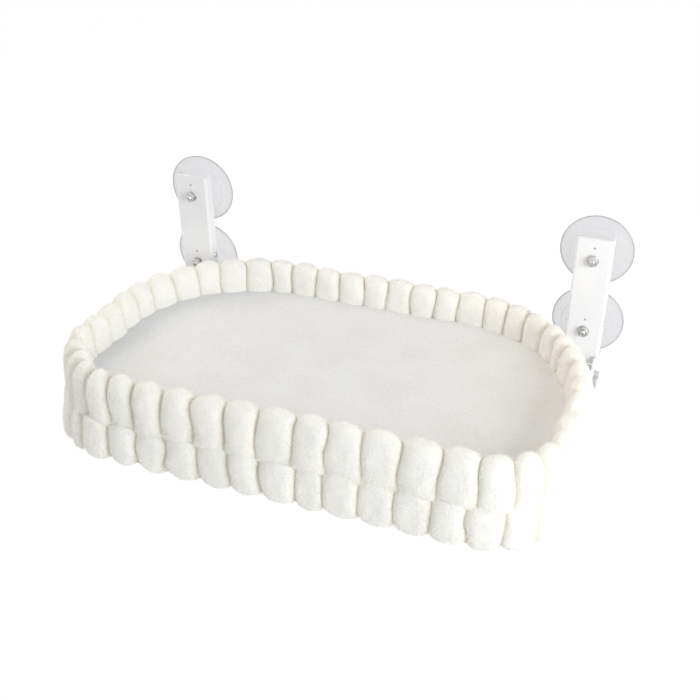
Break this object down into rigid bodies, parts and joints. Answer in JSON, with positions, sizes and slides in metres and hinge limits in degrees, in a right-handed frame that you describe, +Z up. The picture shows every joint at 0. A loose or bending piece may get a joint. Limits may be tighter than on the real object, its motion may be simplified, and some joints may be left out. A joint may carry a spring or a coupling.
{
  "type": "window mounted cat perch",
  "caption": "Plush-rimmed bed for a cat on a fold-down steel frame, held on a window by two uprights with suction cups.",
  "frame": {"origin": "on the glass plane, midway between the four suction cups", "axes": "+Y out of the room into the glass, +X to the right seen from the room, +Z up"},
  "size_m": [0.554, 0.327, 0.2065],
  "materials": {
    "white_steel": "smooth satin white powder coat on pressed sheet and tube",
    "zinc_steel": "bright zinc plate",
    "clear_pvc": "clear, slightly smoky soft PVC with a polished surface",
    "grey_nylon": "moulded nylon",
    "white_nylon": "moulded nylon",
    "birch_board": "sanded plywood",
    "lining_cloth": "woven polyester lining",
    "pale_foam": "open-cell foam",
    "flat_pile": "short flat pile, off-white",
    "bubble_plush": "soft long-pile plush, off-white"
  },
  "bodies": {
    "uprights": {"left_upright": "white_steel", "right_upright": "white_steel", "left_hinge_bracket": "white_steel", "right_hinge_bracket": "white_steel", "bracket_rivets": "zinc_steel", "upper_left_cup": "clear_pvc", "lower_left_cup": "clear_pvc", "upper_right_cup": "clear_pvc", "lower_right_cup": "clear_pvc", "cup_studs": "zinc_steel", "cup_washers": "zinc_steel", "cup_nuts": "zinc_steel", "pivot_bolts": "zinc_steel", "pivot_washers": "zinc_steel", "pivot_nuts": "zinc_steel"},
    "bed": {"left_arm": "white_steel", "right_arm": "white_steel", "front_cross_tube": "white_steel", "rear_cross_tube": "white_steel", "tube_screws": "zinc_steel", "lock_bolts": "zinc_steel", "lock_washers": "zinc_steel", "board_bolts": "zinc_steel", "board_nuts": "zinc_steel", "tube_inserts": "grey_nylon", "pivot_spacers": "grey_nylon", "arm_end_caps": "white_nylon", "support_board": "birch_board", "base_lining": "lining_cloth", "hem_tape": "lining_cloth", "foam_mattress": "pale_foam", "pad_cover": "flat_pile", "plush_rim": "bubble_plush", "plush_skirt_front": "bubble_plush", "plush_skirt_back": "bubble_plush"},
    "left_clamp_knob": {"left_knob": "grey_nylon"},
    "right_clamp_knob": {"right_knob": "grey_nylon"}
  },
  "joints": [
    {"name": "bed_fold", "type": "hinge", "parent": "uprights", "child": "bed", "pos_m": [0, -0.0255, -0.099], "axis": [1, 0, 0], "range_deg": [0, 90]},
    {"name": "left_knob_turn", "type": "hinge", "parent": "bed", "child": "left_clamp_knob", "pos_m": [-0.21, -0.0435, -0.099], "axis": [1, 0, 0], "range_deg": [0, 180]},
    {"name": "right_knob_turn", "type": "hinge", "parent": "bed", "child": "right_clamp_knob", "pos_m": [0.21, -0.0435, -0.099], "axis": [-1, 0, 0], "range_deg": [0, 180]}
  ]
}
